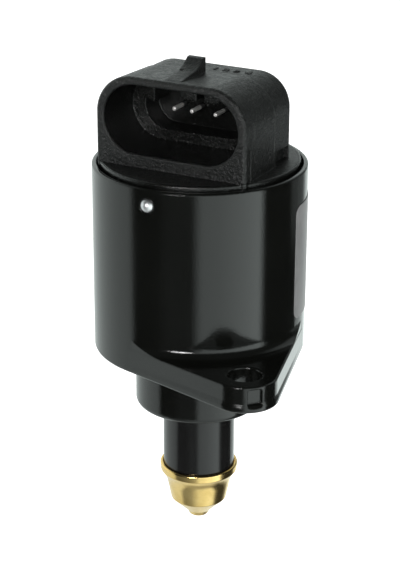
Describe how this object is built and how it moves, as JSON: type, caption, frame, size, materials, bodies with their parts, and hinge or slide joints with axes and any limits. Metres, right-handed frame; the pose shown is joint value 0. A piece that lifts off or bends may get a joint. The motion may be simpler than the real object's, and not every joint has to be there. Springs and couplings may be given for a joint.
{
  "type": "idle air control valve",
  "caption": "Stepper-driven idle air control valve: a black can with an eared flange and spigot, a keyed connector cap and a sliding stem with a turned brass tip.",
  "frame": {"origin": "on the motor axis in the plane of the flange's underside, which seats on the throttle body", "axes": "+Z along the motor axis towards the connector, -Y out of the connector's mouth, -Z the way the plunger extends"},
  "size_m": [0.0466, 0.0466, 0.084],
  "materials": {
    "black_casting": "gloss black coat",
    "grey_moulding": "fine grain",
    "tinned_pin": "bright tinned",
    "bright_ball": "polished",
    "seal_rubber": "matt",
    "stator_iron": "zinc plated",
    "bobbin_plastic": "natural",
    "copper_wire": "enamelled copper",
    "spring_steel": "oiled",
    "bearing_bronze": "sintered bronze",
    "ferrite": "ground",
    "hub_plastic": "natural",
    "race_steel": "ground",
    "screw_steel": "rolled",
    "stem_plastic": "satin",
    "tip_brass": "turned",
    "guide_plastic": "satin"
  },
  "bodies": {
    "body": {"housing": "black_casting", "connector_cap": "grey_moulding", "terminal_1": "tinned_pin", "terminal_2": "tinned_pin", "terminal_3": "tinned_pin", "terminal_4": "tinned_pin", "locking_balls": "bright_ball", "cap_seal_ring": "seal_rubber", "stator_cup_lower": "stator_iron", "stator_plate_lower": "stator_iron", "stator_plate_upper": "stator_iron", "stator_cup_upper": "stator_iron", "coil_bobbin_lower": "bobbin_plastic", "coil_bobbin_upper": "bobbin_plastic", "coil_winding_lower": "copper_wire", "coil_winding_upper": "copper_wire", "end_plate": "stator_iron", "clamp_spring": "spring_steel", "upper_bush": "bearing_bronze", "bearing_outer_race": "race_steel", "bearing_balls": "bright_ball", "bearing_cage": "bearing_bronze", "guide_bush": "guide_plastic", "stem_seal": "seal_rubber"},
    "rotor": {"rotor_magnet": "ferrite", "rotor_hub": "hub_plastic", "rotor_nut": "tip_brass", "bearing_inner_race": "race_steel"},
    "plunger": {"plunger_stem": "stem_plastic", "lead_screw": "screw_steel", "valve_tip": "tip_brass"}
  },
  "joints": [
    {"name": "rotor_spin", "type": "hinge", "parent": "body", "child": "rotor", "pos_m": [0, 0, 0.015], "axis": [0, 0, 1], "range_deg": [-2700, 360]},
    {"name": "plunger_slide", "type": "slide", "parent": "body", "child": "plunger", "axis": [0, 0, 1], "range_m": [-0.001, 0.0075]}
  ],
  "couplings": [
    {"joint": "plunger_slide", "follows": "rotor_spin", "m_per_rad": -0.00015915}
  ]
}
